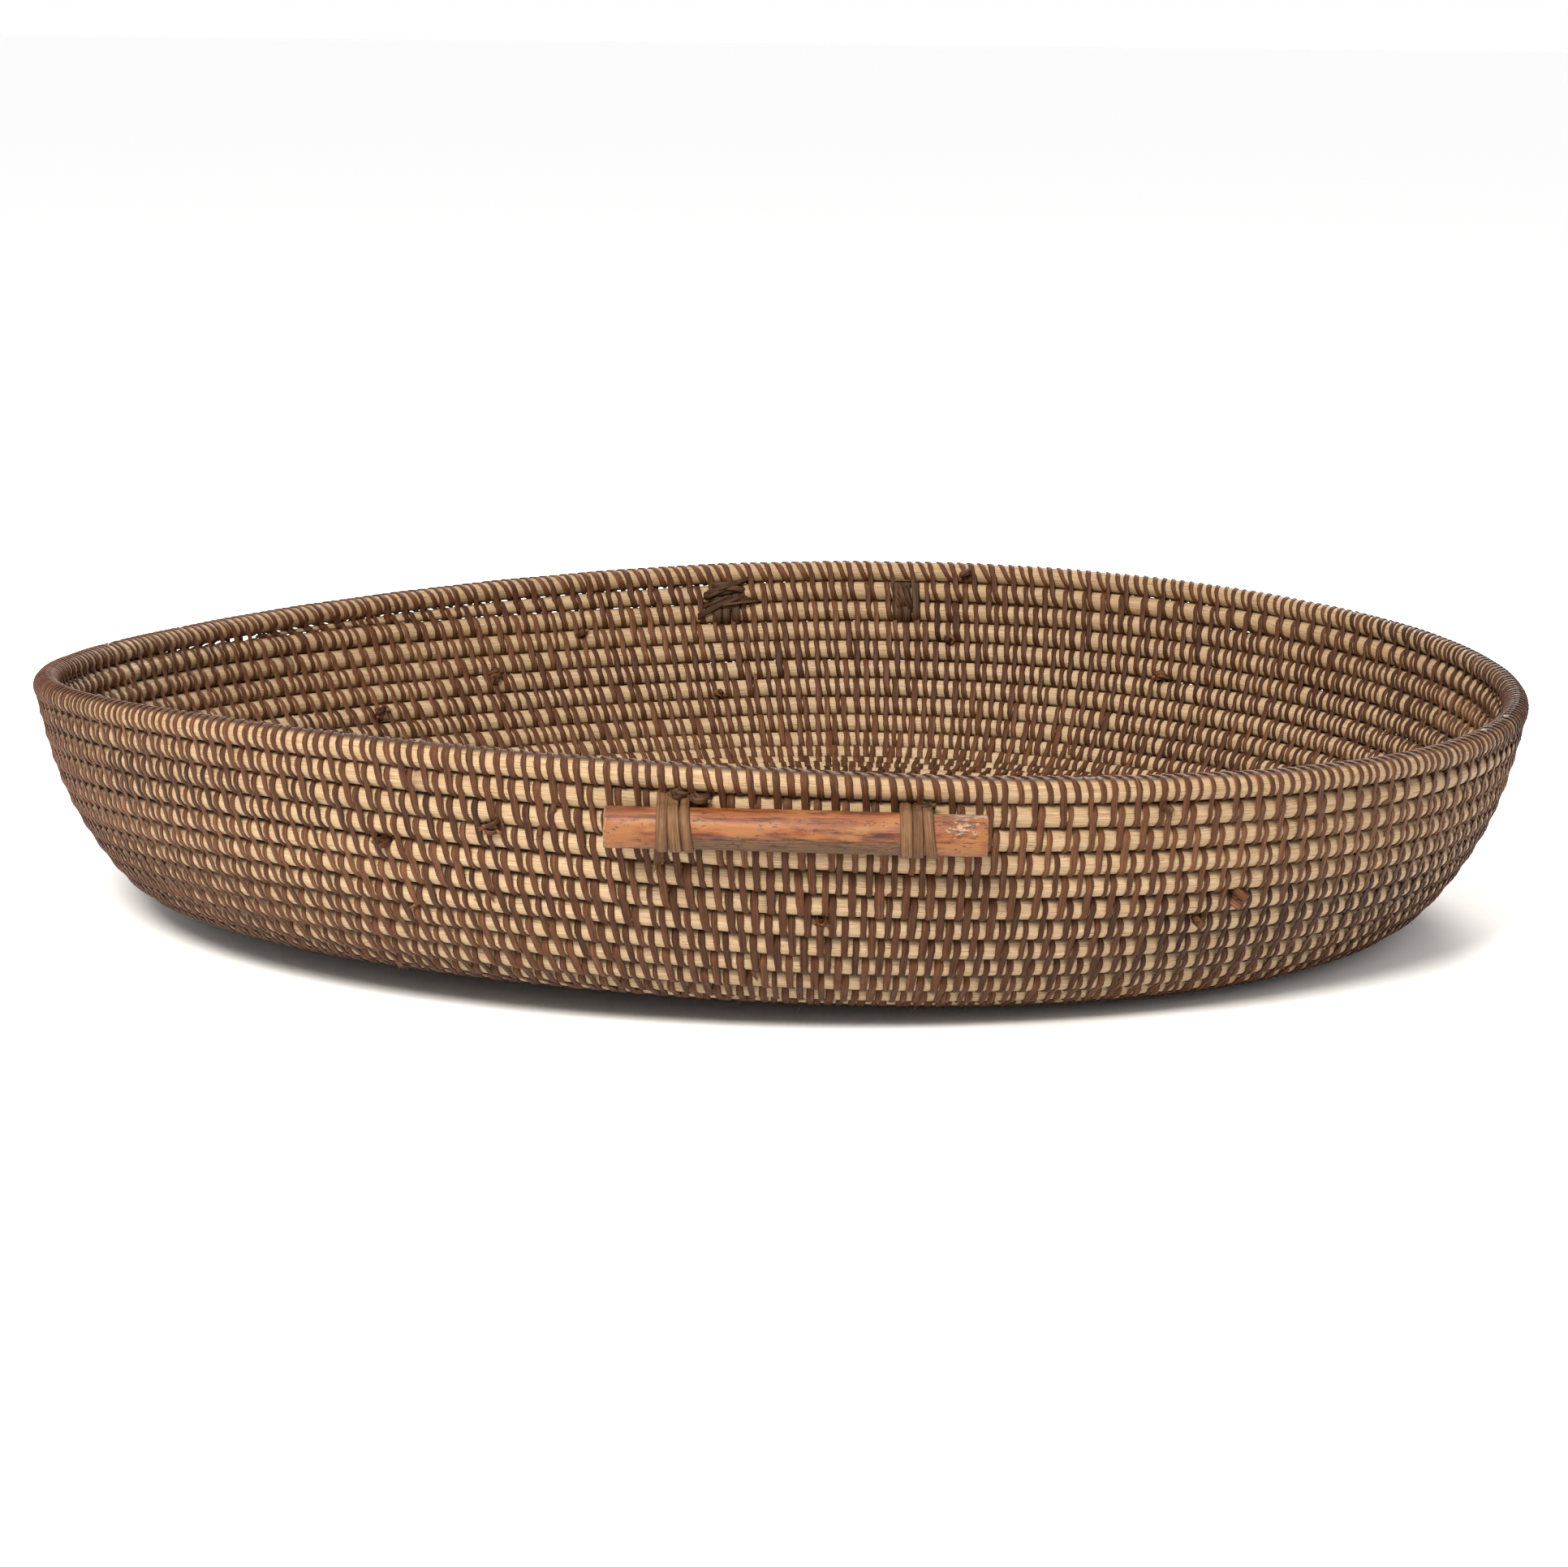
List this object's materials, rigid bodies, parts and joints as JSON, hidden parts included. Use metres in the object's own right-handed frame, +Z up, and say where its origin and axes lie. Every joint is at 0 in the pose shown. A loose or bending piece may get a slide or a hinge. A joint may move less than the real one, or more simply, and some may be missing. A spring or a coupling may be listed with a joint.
{
  "type": "coiled winnowing basket",
  "caption": "Round, shallow coiled-cane winnowing basket with a flared wall, a lashed rim hoop and a straight cane handle tied under the rim at the front and back.",
  "frame": {"origin": "middle of the base's underside, on the surface that the basket rests on", "axes": "+Z up out of the bowl; -Y towards the front handle; +X to the right when facing the front handle"},
  "size_m": [0.6096, 0.634, 0.1064],
  "materials": {
    "core_cane": "pale split rattan core, matt, with fine lengthwise grain",
    "lashing": "brown flat cane strip, satin",
    "handle_cane": "glossy orange-brown cane with its skin on, worn grey in streaks",
    "handle_tie": "light olive-brown flat cane strip, satin"
  },
  "bodies": {
    "root": {"back_handle": "handle_cane", "back_tie_left": "handle_tie", "back_tie_right": "handle_tie", "base_rod_1": "core_cane", "base_rod_2": "core_cane", "base_rod_3": "core_cane", "base_rod_4": "core_cane", "base_rod_5": "core_cane", "base_rod_6": "core_cane", "base_rod_7": "core_cane", "base_rod_8": "core_cane", "base_rod_9": "core_cane", "centre_knot": "lashing", "front_handle": "handle_cane", "front_tie_left": "handle_tie", "front_tie_right": "handle_tie", "rim_hoop": "core_cane", "rim_wraps_long": "lashing", "rim_wraps_short": "lashing", "rod_tail": "core_cane", "wall_rod_1": "core_cane", "wall_rod_2": "core_cane", "wall_rod_3": "core_cane", "wall_rod_4": "core_cane", "wall_rod_5": "core_cane", "wall_rod_6": "core_cane", "wall_rod_7": "core_cane", "wall_rod_8": "core_cane"}
  },
  "joints": []
}
